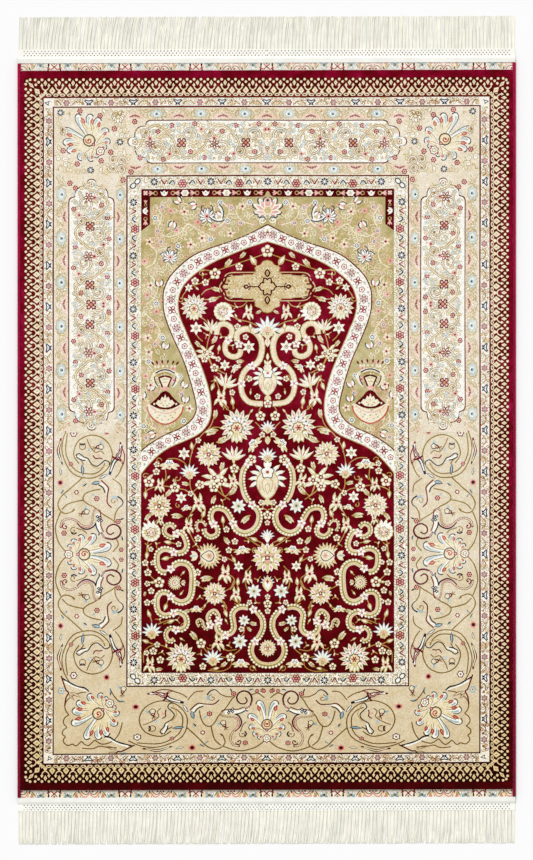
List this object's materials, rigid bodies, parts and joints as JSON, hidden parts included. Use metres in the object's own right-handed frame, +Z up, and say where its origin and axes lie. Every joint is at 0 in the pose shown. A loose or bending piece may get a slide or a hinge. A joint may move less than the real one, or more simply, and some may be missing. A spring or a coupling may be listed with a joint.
{
  "type": "prayer rug",
  "caption": "Flat rectangular prayer rug with a niche pattern, overcast sides and a knotted white fringe on each end.",
  "frame": {"origin": "on the floor, under the middle of the rug", "axes": "+Y along the rug towards the head end of its niche, +X across it to the right, +Z up from the floor"},
  "size_m": [0.8, 1.328, 0.007],
  "materials": {
    "pile": "soft sheen, patterned velvet pile",
    "binding": "silky overcast yarn",
    "fringe": "soft matt yarn"
  },
  "bodies": {
    "root": {"pile_cloth": "pile", "binding_left": "binding", "binding_right": "binding", "fringe_head": "fringe", "fringe_foot": "fringe"}
  },
  "joints": []
}
